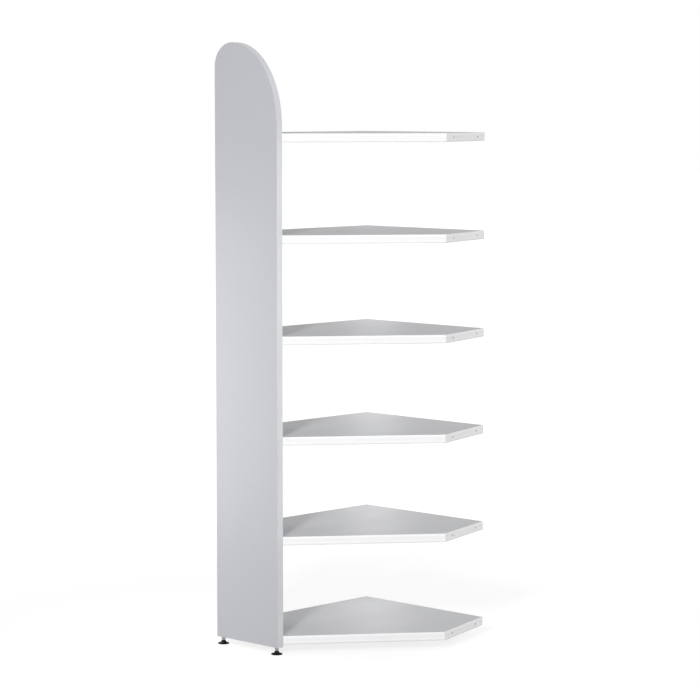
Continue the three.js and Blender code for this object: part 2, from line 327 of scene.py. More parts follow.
@dataclass(frozen=True)
class EdgeBand:
    """The pale plastic band on the boards' edges: a fine grain and faint scuffs.

    Its tone follows the height on the board, in stops from the lowest point to the
    highest, and the stops paint light and shade: a shelf's band has a painted highlight
    along its upper edge and a painted shade line along its lower one, and the panel's
    band has painted shade near the floor and along its curve.
    """

    slot: str = "edge_band"
    name: str = "edge_band_shelf"
    level: float = 0.880
    blue: float = 0.012
    roughness: float = 0.38
    scuffed_tone: float = 0.8
    height: float = 0.030
    # Painted shade line along a shelf band's lower edge, painted highlight along its upper edge.
    painted_shading_tones: tuple[Point, ...] = (
        (0.0, 0.72), (0.07, 0.76), (0.13, 0.98), (0.45, 0.945), (0.68, 0.93), (0.82, 1.01), (1.0, 1.01)
    )

    def material(self) -> Material:
        """Builds the finish.

        Returns:
            The material.
        """
        shader = Shader.of_material(self.name)
        grain = shader.noise(scale=700.0)
        clouds = shader.noise(scale=3.0)
        scuffs = shader.noise(scale=38.0, detail=5.0)
        up = shader.node("ShaderNodeSeparateXYZ", None, {0: shader.place()}, output="Z")
        share = up * (1.0 / self.height) + clouds.swing(0.02)
        # The ramp by height paints light and shade into the band's colour.
        stops = [(place, grey(self.level * tone, self.blue)) for place, tone in self.painted_shading_tones]
        base = shader.node("ShaderNodeValToRGB", {"stops": stops}, {0: share})
        worn = scuffs.smooth(low=0.66, high=0.8) * 0.12
        return shader.surface(
            Base_Color=shader.mix(worn, base, grey(self.level * self.scuffed_tone)),
            Roughness=self.roughness + scuffs.swing(0.12) + grain.swing(0.05),
            Normal=shader.bump(grain, distance=0.00002, strength=0.2),
            Specular_IOR_Level=0.4,
        )


@dataclass(frozen=True)
class CastZinc:
    """Die-cast zinc of the cam locks: dull grey with a cast skin and brighter high spots."""

    slot: str = "zinc"
    name: str = "cast_zinc"
    dull: Colour = (0.40, 0.41, 0.43, 1.0)
    bright: Colour = (0.60, 0.61, 0.63, 1.0)

    def material(self) -> Material:
        """Builds the finish.

        Returns:
            The material.
        """
        shader = Shader.of_material(self.name)
        skin = shader.noise(scale=900.0, detail=4.0)
        patches = shader.noise(scale=120.0)
        return shader.surface(
            Base_Color=shader.mix(patches, self.dull, self.bright),
            Metallic=0.95,
            Roughness=0.44 + skin.swing(0.22) + patches.swing(0.1),
            Normal=shader.bump(skin, distance=0.00006, strength=0.6),
        )


@dataclass(frozen=True)
class PlatedSteel:
    """Dulled zinc-plated steel: turned rings and a faint bluish cast."""

    slot: str = "steel"
    name: str = "plated_steel"
    dull: Colour = (0.28, 0.285, 0.295, 1.0)
    bright: Colour = (0.38, 0.385, 0.4, 1.0)

    def material(self) -> Material:
        """Builds the finish.

        Returns:
            The material.
        """
        shader = Shader.of_material(self.name)
        rings = shader.noise(scale=1.0, detail=3.0, place=shader.stretched((60.0, 60.0, 2600.0)))
        haze = shader.noise(scale=180.0, detail=3.0)
        return shader.surface(
            Base_Color=shader.mix(haze, self.dull, self.bright),
            Metallic=1.0,
            Roughness=0.24 + haze.swing(0.16) + rings.swing(0.12),
            Normal=shader.bump(rings, distance=0.00001, strength=0.5),
        )


@dataclass(frozen=True)
class MouldedPlastic:
    """Black moulded plastic of the pads: fine spark-eroded grain under a little dust."""

    slot: str = "black_plastic"
    name: str = "black_moulded_plastic"
    black: Colour = (0.004, 0.004, 0.0042, 1.0)
    dusty: Colour = (0.02, 0.02, 0.021, 1.0)

    def material(self) -> Material:
        """Builds the finish.

        Returns:
            The material.
        """
        shader = Shader.of_material(self.name)
        grain = shader.noise(scale=1400.0)
        dust = shader.noise(scale=260.0, detail=4.0)
        return shader.surface(
            Base_Color=shader.mix(dust.smooth(low=0.6, high=0.85) * 0.35, self.black, self.dusty),
            Roughness=0.5 + grain.swing(0.2) + dust.swing(0.1),
            Normal=shader.bump(grain, distance=0.00004, strength=0.7),
            Specular_IOR_Level=0.2,
        )


Finish = Melamine | Chipboard | EdgeBand | CastZinc | PlatedSteel | MouldedPlastic


@functools.cache
def material_of(finish: Finish) -> Material:
    """The one material of a finish."""
    return finish.material()


# Mesh making


def arc(
    centre: Point, radius: float, start: float, end: float, steps: int, rise: float | None = None
) -> list[Point]:
    """Points of an arc, both ends included.

    Args:
        centre: its centre.
        radius: its radius.
        start: the first angle, in degrees.
        end: the last angle, in degrees.
        steps: the number of steps between them.
        rise: its radius upwards, where it is part of an ellipse.

    Returns:
        The points in order.
    """
    upwards = radius if rise is None else rise
    angles = [math.radians(start + (end - start) * step / steps) for step in range(steps + 1)]
    return [(centre[0] + radius * math.cos(a), centre[1] + upwards * math.sin(a)) for a in angles]


def rectangle(low: Point, high: Point) -> list[Point]:
    """A rectangle's corners, counter-clockwise."""
    return [low, (high[0], low[1]), high, (low[0], high[1])]


def set_in(outline: Sequence[Point], distance: float) -> list[Point]:
    """A counter-clockwise outline drawn in by a distance on every edge.

    Args:
        outline: the outline's corners.
        distance: how far each edge moves in.

    Returns:
        The new corners.
    """
    moved = []
    for index, corner in enumerate(outline):
        here = Vector(corner)
        along = (here - Vector(outline[index - 1])).normalized()
        onward = (Vector(outline[(index + 1) % len(outline)]) - here).normalized()
        inward = Vector((-along.y - onward.y, along.x + onward.x))
        moved.append(tuple(here + inward * (distance / (1.0 + along.dot(onward)))))
    return moved


def plate(outline: Sequence[Point], low: float, high: float, rounding: float = 0.0) -> BMesh:
    """A flat plate over an outline.

    Args:
        outline: its corners, counter-clockwise.
        low: the height of its underside.
        high: the height of its top.
        rounding: the radius on every outer edge, top, bottom and upright.

    Returns:
        The plate's mesh.
    """
    made = bmesh.new()
    base = made.faces.new([made.verts.new((x, y, low)) for x, y in outline])
    lifted = bmesh.ops.extrude_face_region(made, geom=[base])["geom"]
    top = [item for item in lifted if isinstance(item, bmesh.types.BMVert)]
    bmesh.ops.translate(made, verts=top, vec=(0.0, 0.0, high - low))
    bmesh.ops.recalc_face_normals(made, faces=made.faces)
    if rounding:
        least = math.radians(20.0)
        sharp = [edge for edge in made.edges if edge.calc_face_angle(0.0) > least]
        bmesh.ops.bevel(made, geom=sharp, offset=rounding, segments=4, profile=0.5, affect="EDGES")
    return made


def lofted(sections: Sequence[Sequence[Place]], capped: bool) -> BMesh:
    """A closed solid that joins each section to the next.

    Args:
        sections: rings of points in order; a single point is a pole.
        capped: whether the end sections are faces; if not, they are poles or meet.

    Returns:
        The solid's mesh.
    """
    made = bmesh.new()
    rings = [[made.verts.new(point) for point in section] for section in sections]
    if not capped and len(rings[0]) > 1:
        rings.append(rings[0])
    for first, second in zip(rings, rings[1:]):
        count = max(len(first), len(second))
        for step in range(count):
            onward = (step + 1) % count
            corners = [first[step % len(first)], first[onward % len(first)]]
            corners += [second[onward % len(second)], second[step % len(second)]]
            made.faces.new(list(dict.fromkeys(corners)))
    if capped:
        made.faces.new(rings[0])
        made.faces.new(list(reversed(rings[-1])))
    bmesh.ops.recalc_face_normals(made, faces=made.faces)
    return made


def turned(profile: Sequence[Point], segments: int) -> BMesh:
    """A solid of revolution about Z.

    Args:
        profile: (radius, height) points from one end to the other; a radius of 0 is a
            pole, and a profile without poles closes on itself.
        segments: the number of steps round the axis.

    Returns:
        The solid's mesh.
    """
    sections = []
    for radius, height in profile:
        count = segments if radius > POLE_RADIUS else 1
        turns = [2.0 * math.pi * step / segments for step in range(count)]
        sections.append([(radius * math.cos(a), radius * math.sin(a), height) for a in turns])
    return lofted(sections, capped=False)


def rod(radius: float, low: float, high: float, segments: int = 48) -> BMesh:
    """A round rod about Z between two heights."""
    return turned([(0.0, low), (radius, low), (radius, high), (0.0, high)], segments)


def rounded_profile(corners: Sequence[Place], steps: int = 3) -> list[Point]:
    """A (radius, height) profile with eased corners.

    Args:
        corners: (radius, height, easing) for each corner; an easing of 0 stays sharp.
        steps: the number of steps on each eased corner.

    Returns:
        The profile's points.
    """
    points = []
    for index, (radius, height, easing) in enumerate(corners):
        here = Vector((radius, height))
        if not easing:
            points.append((radius, height))
            continue
        before = (Vector(corners[index - 1][:2]) - here).normalized() * easing
        after = (Vector(corners[index + 1][:2]) - here).normalized() * easing
        for share in (step / steps for step in range(steps + 1)):
            points.append(tuple(here + before * (1.0 - share) ** 2 + after * share**2))
    return points


def helix_ridge(root: float, crest: float, pitch: float, low: float, high: float) -> BMesh:
    """The ridge of a screw thread, right-handed about Z, tapering out at both ends.

    Args:
        root: the radius at its foot.
        crest: the radius at its crest.
        pitch: its rise per turn.
        low: the height where it starts.
        high: the height where it ends.

    Returns:
        The ridge's closed mesh.
    """
    per_turn, least_share = 24, 0.02
    count = int((high - low) / pitch * per_turn)
    buried, foot_half = root * 0.985, pitch * 0.46
    crest_half = foot_half * 0.12
    sections = []
    for step in range(count + 1):
        angle = 2.0 * math.pi * step / per_turn
        height = low + pitch * step / per_turn
        share = max(least_share, min(1.0, step / per_turn, (count - step) / per_turn))
        top = root + (crest - root) * share
        outline = [(buried, -foot_half), (top, -crest_half), (top, crest_half), (buried, foot_half)]
        sections.append([(r * math.cos(angle), r * math.sin(angle), height + dz) for r, dz in outline])
    return lofted(sections, capped=True)


def shape(name: str, made: BMesh, turn: Matrix | None = None) -> Piece:
    """Turns a mesh under work into an object.

    Args:
        name: the object's name.
        made: the mesh under work, which is freed.
        turn: where to put it.

    Returns:
        The object, linked to the scene.
    """
    if turn is not None:
        made.transform(turn)
    data = bpy.data.meshes.new(name)
    made.to_mesh(data)
    made.free()
    piece = bpy.data.objects.new(name, data)
    bpy.context.scene.collection.objects.link(piece)
    return piece


def apply_modifiers(piece: Piece) -> None:
    """Bakes a piece's modifiers into its mesh.

    Args:
        piece: the piece.
    """
    bpy.context.view_layer.update()
    seen = piece.evaluated_get(bpy.context.evaluated_depsgraph_get())
    data = bpy.data.meshes.new_from_object(seen)
    piece.modifiers.clear()
    old = piece.data
    piece.data = data
    bpy.data.meshes.remove(old)


def delete(pieces: Sequence[Piece]) -> None:
    """Deletes objects and their meshes.

    Args:
        pieces: the objects.
    """
    for piece in pieces:
        data = piece.data
        bpy.data.objects.remove(piece)
        bpy.data.meshes.remove(data)


def cut(piece: Piece, tools: Sequence[Piece], keep: Keep = Keep.OUTSIDE) -> None:
    """Cuts a piece with tools.

    Args:
        piece: the piece, which is changed.
        tools: the tool objects, which are deleted.
        keep: what stays of the piece.
    """
    for tool in tools:
        step = piece.modifiers.new(tool.name, "BOOLEAN")
        step.operation = keep.value
        step.solver = "EXACT"
        step.object = tool
    apply_modifiers(piece)
    delete(tools)


def join_meshes(piece: Piece, others: Sequence[Piece]) -> None:
    """Adds other objects' meshes to a piece and deletes those objects.

    Args:
        piece: the piece that grows.
        others: the objects that become part of it.
    """
    grown = bmesh.new()
    for part in (piece, *others):
        grown.from_mesh(part.data)
    grown.to_mesh(piece.data)
    grown.free()
    delete(others)


def dress(
    piece: Piece, finish: Finish, sharp_above: float, flat: Finish | None = None, axis: int = 2
) -> Piece:
    """Gives a piece its finish and shades it smooth, with flat faces kept flat.

    Args:
        piece: the piece.
        finish: its finish.
        sharp_above: edges sharper than this many degrees stay sharp.
        flat: the finish of a board's or band's two flat sides, where that is another.
        axis: the axis of the board's thickness.

    Returns:
        The same piece.
    """
    least_facing, nearness = 0.9, 0.0003
    mesh = piece.data
    mesh.materials.clear()
    for each in (flat, finish) if flat else (finish,):
        mesh.materials.append(material_of(each))
    if flat:
        heights = [vertex.co[axis] for vertex in mesh.vertices]
        low, high = min(heights), max(heights)
        for polygon in mesh.polygons:
            at = polygon.center[axis]
            facing = abs(polygon.normal[axis]) > least_facing
            polygon.material_index = 0 if facing and min(at - low, high - at) < nearness else 1
    mesh.shade_smooth()
    mesh.set_sharp_from_angle(angle=math.radians(sharp_above))
    weighted = piece.modifiers.new("flat_faces_stay_flat", "WEIGHTED_NORMAL")
    weighted.keep_sharp = True
    weighted.weight = 100
    apply_modifiers(piece)
    return piece


def copy_of(piece: Piece, name: str) -> Piece:
    """Another object of the same mesh.

    Args:
        piece: the first object.
        name: the new object's name.

    Returns:
        The new object.
    """
    twin = bpy.data.objects.new(name, piece.data)
    bpy.context.scene.collection.objects.link(twin)
    return twin


def fit_out(piece: Piece, place: Matrix, body: str, node: str, slot: str) -> None:
    """Hands a finished piece to the body that carries it, in place of its solid.

    Args:
        piece: the piece.
        place: where it stands.
        body: the body that it moves with.
        node: the solid that it stands for.
        slot: the record's material slot of its finish, which is only logged.
    """
    piece.matrix_world = place
    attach(piece, body)
    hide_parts(node)
    LOG.info("%s dressed as %s", node, slot)


def pointing_along(angle: float = 0.0, x: float = 0.0, y: float = 0.0, z: float = 0.0) -> Matrix:
    """Turns +Z to a level direction, in radians from +X, and moves it to a place."""
    level = Matrix.Rotation(math.pi / 2.0, 4, "Y")
    return Matrix.Translation((x, y, z)) @ Matrix.Rotation(angle, 4, "Z") @ level


# The unit's parts


@dataclass(frozen=True)
class Site:
    """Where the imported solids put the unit's reference corner and levels."""

    inner_face: float = field(default_factory=lambda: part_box("side_panel_board")[1].x)
    back_wall: float = field(default_factory=lambda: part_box("side_panel_edge_band")[1].y)
    levels: Sequence[int] = range(1, 7)

    def matrix(self, height: float = 0.0) -> Matrix:
        """Moves from the corner of panel and back wall to the row frame, at a height."""
        return Matrix.Translation((self.inner_face, self.back_wall, height))

    def shelf_height(self, level: int) -> float:
        """The height of a shelf's underside, where level 1 is the bottom shelf."""
        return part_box(f"shelf_{level}_board")[0].z


@dataclass(frozen=True)
class Banding:
    """The plastic band that edges every board."""

    thickness: float = 0.002
    rounding: float = 0.001
    glue_line: float = 0.00006
    finish: EdgeBand = EdgeBand()

    @property
    def board_set(self) -> float:
        """How far a board's own edge lies inside the finished outline."""
        return self.thickness + self.glue_line


@dataclass(frozen=True)
class CamLock:
    """A cam that draws a connecting bolt's ball towards itself by half a turn."""

    radius: float = 0.0072
    height: float = 0.0203
    lower_easing: float = 0.0005
    upper_easing: float = 0.0004
    bolt_height: float = 0.015
    chamber_radius: float = 0.0038
    throw: float = 0.001
    slot_half_height: float = 0.0023
    bore_radius: float = 0.0075
    bore_depth: float = 0.0208
    bolt_bore_radius: float = 0.004
    inset: float = 0.034
    recess_half_length: float = 0.004
    recess_half_width: float = 0.0008
    recess_depth: float = 0.004
    recess_taper_share: float = 0.72
    pointer: tuple[Point, ...] = ((0.0064, 0.0), (0.0050, 0.0009), (0.0050, -0.0009))
    pointer_depth: float = 0.0004
    finish: CastZinc = CastZinc()

    def build(self) -> Piece:
        """Models one cam about its own axis, locked on a bolt that comes in along +X.

        Returns:
            The cam.
        """
        corners = [
            (0.0, 0.0, 0.0), (self.radius, 0.0, self.lower_easing),
            (self.radius, self.height, self.upper_easing), (0.0, self.height, 0.0),
        ]
        body = shape("cam_lock", turned(rounded_profile(corners), segments=64))
        cut(body, self._hollows() + self._recesses())
        return dress(body, self.finish, sharp_above=28.0)

    def _hollows(self) -> list[Piece]:
        """The spiral chamber for the ball, the slot for the neck and the ball's mouth.

        Returns:
            The cutting tools.
        """
        steps = 40
        spiral = []
        for step in range(steps):
            radius = self.chamber_radius + self.throw * (1.0 - abs(1.0 - 2.0 * step / steps))
            angle = math.pi + 2.0 * math.pi * step / steps
            spiral.append((radius * math.cos(angle), radius * math.sin(angle)))
        margin = math.degrees(math.asin(self.slot_half_height / self.chamber_radius))
        reach = self.radius + OVERRUN
        sweep = [(0.0, 0.0), *arc((0.0, 0.0), reach, 180.0 - margin, 360.0, steps=24)]
        middle, ball, neck = self.bolt_height, self.chamber_radius, self.slot_half_height
        return [
            shape("chamber", plate(spiral, middle - ball, middle + ball)),
            shape("neck_slot", plate(sweep, middle - neck, middle + neck)),
            shape("mouth", rod(ball, 0.0, reach), pointing_along(z=middle)),
        ]

    def _recesses(self) -> list[Piece]:
        """The tapered cross for the screwdriver and a small notch on the mouth's side.

        Returns:
            The cutting tools.
        """
        tools = [shape("pointer", plate(self.pointer, -OVERRUN, self.pointer_depth))]
        corner = (self.recess_half_length, self.recess_half_width)
        for index in range(2):
            blade = plate(rectangle((-corner[0], -corner[1]), corner), -OVERRUN, self.recess_depth)
            for vertex in blade.verts:
                if vertex.co.z > 0.0:
                    vertex.co.x *= self.recess_taper_share
            quarter = Matrix.Rotation(index * math.pi / 2.0, 4, "Z")
            tools.append(shape(f"blade_{index}", blade, quarter))
        return tools


@dataclass(frozen=True)
class ConnectingBolt:
    """The bolt that screws into a panel and ends in the ball that the cam grips."""

    ball_centre: float = 0.0343
    ball_radius: float = 0.0035
    neck_radius: float = 0.002
    shank_radius: float = 0.0035
    shank_start: float = 0.0003
    shank_end: float = 0.0256
    shank_easing: float = 0.0005
    thread_radius: float = 0.003
    thread_length: float = 0.012
    thread_gaps: Point = (0.0008, 0.0006)
    root_share: float = 0.76
    tip_length: float = 0.001
    tip_share: float = 0.7
    pitch: float = 0.0016
    hole_radius: float = 0.0033
    hole_depth: float = 0.0125
    finish: PlatedSteel = PlatedSteel()

    def build(self) -> Piece:
        """Models one bolt along +X from the panel's face.

        Returns:
            The bolt.
        """
        root = self.thread_radius * self.root_share
        tip = -self.thread_length
        neck_angle = math.degrees(math.asin(self.neck_radius / self.ball_radius))
        profile = [
            (0.0, tip), (root * self.tip_share, tip), (root, tip + self.tip_length),
            (root, self.shank_start), (self.shank_radius, self.shank_start),
            (self.shank_radius, self.shank_end - self.shank_easing),
            (self.shank_radius - self.shank_easing, self.shank_end), (self.neck_radius, self.shank_end),
            *arc((0.0, self.ball_centre), self.ball_radius, neck_angle - 90.0, 90.0, steps=12),
        ]
        low, high = tip + self.thread_gaps[0], -self.thread_gaps[1]
        thread = helix_ridge(root, self.thread_radius, self.pitch, low, high)
        along = pointing_along()
        bolt = shape("connecting_bolt", turned(profile, segments=32), along)
        join_meshes(bolt, [shape("bolt_thread", thread, along)])
        return dress(bolt, self.finish, sharp_above=35.0)


@dataclass(frozen=True)
class Lock:
    """A joint of a shelf: where its bolt enters the edge and its direction from there."""

    end: End
    depth: Depth
    x: float
    y: float
    inward: float

    @property
    def name(self) -> str:
        """The joint's name within its shelf."""
        return f"{self.end.value}_{self.depth.value}"

    def ahead(self, distance: float) -> Matrix:
        """Moves to the point at a distance into the shelf."""
        x, y = distance * math.cos(self.inward), distance * math.sin(self.inward)
        return Matrix.Translation((self.x + x, self.y + y, 0.0))


@dataclass
class Shelf:
    """A five-sided shelf board, its edge band, its cam locks and its two bolts."""

    site: Site
    back_length: float = 0.750
    side_length: float = 0.585
    panel_depth: float = 0.312
    free_depth: float = 0.312
    free_turn: float = math.radians(16.0)
    thickness: float = 0.030
    seat_gap: float = 0.0003
    lock_distance: float = 0.060
    board_finish: Melamine = Melamine()
    core_finish: Chipboard = Chipboard()
    banding: Banding = Banding()
    cam: CamLock = CamLock()
    bolt: ConnectingBolt = ConnectingBolt()

    def outline(self) -> list[Point]:
        """The finished shelf's corners, counter-clockwise from the panel's front.

        Returns:
            The corners.
        """
        turn_x = self.free_depth * math.cos(self.free_turn)
        turn_y = self.free_depth * math.sin(self.free_turn)
        return [
            (self.seat_gap, -self.panel_depth),
            (self.back_length - turn_x, -self.side_length - turn_y),
            (self.back_length, -self.side_length), (self.back_length, 0.0), (self.seat_gap, 0.0),
        ]

    def locks(self) -> list[Lock]:
        """The shelf's four cam-and-bolt joints.

        Returns:
            The joints, back ones first.
        """
        distances = {Depth.BACK: self.lock_distance, Depth.FRONT: self.panel_depth - self.lock_distance}
        found = []
        for depth, distance in distances.items():
            free_x = self.back_length - distance * math.cos(self.free_turn)
            free_y = -self.side_length - distance * math.sin(self.free_turn)
            found.append(Lock(End.PANEL, depth, self.seat_gap, -distance, 0.0))
            found.append(Lock(End.FREE, depth, free_x, free_y, math.pi / 2.0 + self.free_turn))
        return found

    def panel_locks(self) -> list[Lock]:
        """The joints that hold the shelf to the side panel."""
        return [lock for lock in self.locks() if lock.end is End.PANEL]

    def _bolt_bores(self) -> list[Piece]:
        """The bores that connecting bolts slide into, as cutting tools.

        Returns:
            The cutting tools.
        """
        return [
            shape(
                f"bolt_bore_{lock.name}",
                rod(self.cam.bolt_bore_radius, -OVERRUN, self.cam.inset),
                pointing_along(lock.inward, lock.x, lock.y, self.cam.bolt_height),
            )
            for lock in self.locks()
        ]

    def build_board(self) -> Piece:
        """Models the drilled board: decor on its faces, raw core on its edges and bores.

        Returns:
            The board.
        """
        outline = set_in(self.outline(), self.banding.board_set)
        board = shape("shelf_board", plate(outline, 0.0, self.thickness))
        cam_bores = [
            shape(
                f"cam_bore_{lock.name}",
                rod(self.cam.bore_radius, -OVERRUN, self.cam.bore_depth, segments=64),
                lock.ahead(self.cam.inset),
            )
            for lock in self.locks()
        ]
        cut(board, cam_bores + self._bolt_bores())
        return dress(board, self.core_finish, sharp_above=32.0, flat=self.board_finish)

    def build_band(self) -> Piece:
        """Models the band round the shelf, bored for the bolts.

        Returns:
            The band.
        """
        band = shape("shelf_band", plate(self.outline(), 0.0, self.thickness, self.banding.rounding))
        hollow = set_in(self.outline(), self.banding.thickness)
        inner = shape("band_inside", plate(hollow, -OVERRUN, self.thickness + OVERRUN))
        cut(band, [inner] + self._bolt_bores())
        return dress(band, self.banding.finish, sharp_above=40.0)

    def build(self) -> None:
        """Places every shelf of the unit."""
        patterns = [self.build_board(), self.build_band(), self.cam.build(), self.bolt.build()]
        board, band, cam, bolt = patterns
        for level in self.site.levels:
            base = self.site.matrix(self.site.shelf_height(level))
            name = f"shelf_{level}"
            decor_board = copy_of(board, f"{name}_decor_board")
            fit_out(decor_board, base, CARCASS, f"{name}_board", self.board_finish.slot)
            banding = copy_of(band, f"{name}_banding")
            fit_out(banding, base, CARCASS, f"{name}_edge_band", self.banding.finish.slot)
            for lock in self.locks():
                opening = math.pi if lock.end is End.FREE else 0.0
                turn = Matrix.Rotation(lock.inward - opening, 4, "Z")
                place = base @ lock.ahead(self.cam.inset) @ turn
                node = f"{name}_cam_{lock.name}"
                fit_out(copy_of(cam, f"{node}_cast"), place, node, node, self.cam.finish.slot)
            for lock in self.panel_locks():
                place = base @ Matrix.Translation((0.0, lock.y, self.cam.bolt_height))
                node = f"{name}_bolt_{lock.depth.value}"
                fit_out(copy_of(bolt, f"{node}_turned"), place, CARCASS, node, self.bolt.finish.slot)
        for pattern in patterns:
            bpy.data.objects.remove(pattern)


@dataclass
class LevellingFoot:
    """A levelling foot: pad, spindle and the sleeve that the spindle screws into."""

    site: Site
    depth: Depth
    y: float
    x: float = -0.0125
    pad_radius: float = 0.020
    pad_height: float = 0.01298
    rim_height: float = 0.0035
    rim_lower_points: tuple[Point, ...] = ((0.0008, 0.0), (0.0002, 0.0003), (0.0, 0.0009))
    rim_upper_points: tuple[Point, ...] = ((0.0, 0.0011), (0.0003, 0.0004))
    flare_inset: float = 0.0009
    flare_drop: float = 0.0006
    neck_radius: float = 0.0075
    neck_points: tuple[Point, ...] = ((0.0001, 0.0003), (0.0004, 0.0))
    groove: Point = (0.0118, 0.0138)
    groove_depth: float = 0.0003
    groove_slope: float = 0.0004
    mouth_radius: float = 0.0035
    mouth_easing: float = 0.0002
    socket_radius: float = 0.0053
    ball_radius: float = 0.005
    ball_centre: float = 0.0076
    spindle_neck: float = 0.0032
    hex_bottom: float = 0.01588
    hex_height: float = 0.008
    hex_flats: float = 0.013
    hex_easing: tuple[float, float, float] = (0.0009, 0.0002, 0.00065)
    rod_radius: float = 0.004
    rod_overlap: float = 0.0005
    tip_easing: Point = (0.0008, 0.001)
    spindle_top: float = 0.06398
    thread_pitch: float = 0.00125
    thread_depth: float = 0.00068
    thread_gaps: Point = (-0.0006, 0.0008)
    sleeve_radius: float = 0.006
    sleeve_bore: float = 0.0043
    sleeve_top: float = 0.05098
    flange_radius: float = 0.009
    flange_bottom: float = 0.02418
    flange_top: float = 0.02568
    flange_easing: float = 0.0004
    barbs: int = 5
    barb_start: float = 0.003
    barb_pitch: float = 0.0042
    barb_depth: float = 0.0006
    barb_rises: Point = (0.0008, 0.0034)
    hole_steps: tuple[Point, ...] = ((0.0063, 0.0513), (0.0045, 0.0645))
    plastic: MouldedPlastic = MouldedPlastic()
    steel: PlatedSteel = PlatedSteel()

    def build_pad(self) -> Piece:
        """Models the flared pad with its grooved sole, rim, trumpet, lip and ball socket.

        Returns:
            The pad.
        """
        inner, outer = self.groove
        rim, top = self.rim_height, self.pad_height
        foot, flare = self.pad_radius - self.flare_inset, top - rim - self.flare_drop
        mouth = math.degrees(math.asin(self.mouth_radius / self.socket_radius))
        profile = [
            (0.0, 0.0), (inner, 0.0), (inner + self.groove_slope, self.groove_depth),
            (outer - self.groove_slope, self.groove_depth), (outer, 0.0),
            *[(self.pad_radius - inset, rise) for inset, rise in self.rim_lower_points],
            *[(self.pad_radius - inset, rim - drop) for inset, drop in self.rim_upper_points],
            *arc((foot, rim + flare), foot - self.neck_radius, 270.0, 180.0, steps=18, rise=flare),
            *[(self.neck_radius - inset, top - drop) for inset, drop in self.neck_points],
            (self.mouth_radius + self.mouth_easing, top), (self.mouth_radius, top - self.mouth_easing),
            *arc((0.0, self.ball_centre), self.socket_radius, 90.0 - mouth, -90.0, steps=14),
        ]
        pad = shape(f"foot_{self.depth.value}_moulded_pad", turned(profile, segments=72))
        return dress(pad, self.plastic, sharp_above=38.0)

    def _hexagon(self) -> Piece:
        """Models the spindle's hexagon, with its corners chamfered at both ends.

        Returns:
            The hexagon.
        """
        low, high = self.hex_bottom, self.hex_bottom + self.hex_height
        corner = self.hex_flats / 2.0 / math.cos(math.pi / 6.0)
        inset, proud, rise = self.hex_easing
        profile = [
            (0.0, low), (corner - inset, low), (corner + proud, low + rise),
            (corner + proud, high - rise), (corner - inset, high), (0.0, high),
        ]
        outline = arc((0.0, 0.0), corner, 0.0, 300.0, steps=5)
        hexagon = shape("hexagon", plate(outline, low, high))
        cut(hexagon, [shape("hexagon_chamfer", turned(profile, segments=96))], Keep.INSIDE)
        return hexagon

    def build_spindle(self) -> Piece:
        """Models the spindle: ball, neck, chamfered hexagon and threaded rod.

        Returns:
            The spindle.
        """
        neck = math.degrees(math.asin(self.spindle_neck / self.ball_radius))
        root = self.rod_radius - self.thread_depth
        seat = self.hex_bottom + self.rod_overlap
        top = self.spindle_top
        profile = [
            *arc((0.0, self.ball_centre), self.ball_radius, -90.0, 90.0 - neck, steps=16),
            (self.spindle_neck, seat), (root, seat),
            (root, top - self.tip_easing[1]), (root - self.tip_easing[0], top), (0.0, top),
        ]
        spindle = shape(f"foot_{self.depth.value}_turned_spindle", turned(profile, segments=48))
        low = self.hex_bottom + self.hex_height + self.thread_gaps[0]
        ridge = helix_ridge(root, self.rod_radius, self.thread_pitch, low, top - self.thread_gaps[1])
        join_meshes(spindle, [self._hexagon(), shape("spindle_thread", ridge)])
        return dress(spindle, self.steel, sharp_above=30.0)

    def build_sleeve(self) -> Piece:
        """Models the flanged sleeve with barbs that bite into the panel.

        Returns:
            The sleeve.
        """
        waist = self.sleeve_radius - self.barb_depth
        barbs = []
        for ring in range(self.barbs):
            height = self.flange_top + self.barb_start + ring * self.barb_pitch
            barbs += [(waist, height), (self.sleeve_radius, height + self.barb_rises[0])]
            barbs.append((waist, height + self.barb_rises[1]))
        profile = [
            (self.sleeve_bore, self.flange_bottom),
            (self.flange_radius - self.flange_easing, self.flange_bottom),
            (self.flange_radius, self.flange_bottom + self.flange_easing),
            (self.flange_radius, self.flange_top), (waist, self.flange_top),
            *barbs, (waist, self.sleeve_top), (self.sleeve_bore, self.sleeve_top),
        ]
        sleeve = shape(f"foot_{self.depth.value}_barbed_sleeve", turned(profile, segments=48))
        return dress(sleeve, self.steel, sharp_above=30.0)

    def build(self) -> None:
        """Builds the foot's three pieces in place."""
        name = f"foot_{self.depth.value}"
        place = self.site.matrix() @ Matrix.Translation((self.x, self.y, 0.0))
        fit_out(self.build_pad(), place, f"{name}_pad", f"{name}_pad", self.plastic.slot)
        fit_out(self.build_spindle(), place, f"{name}_spindle", f"{name}_spindle", self.steel.slot)
        fit_out(self.build_sleeve(), place, CARCASS, f"{name}_insert", self.steel.slot)


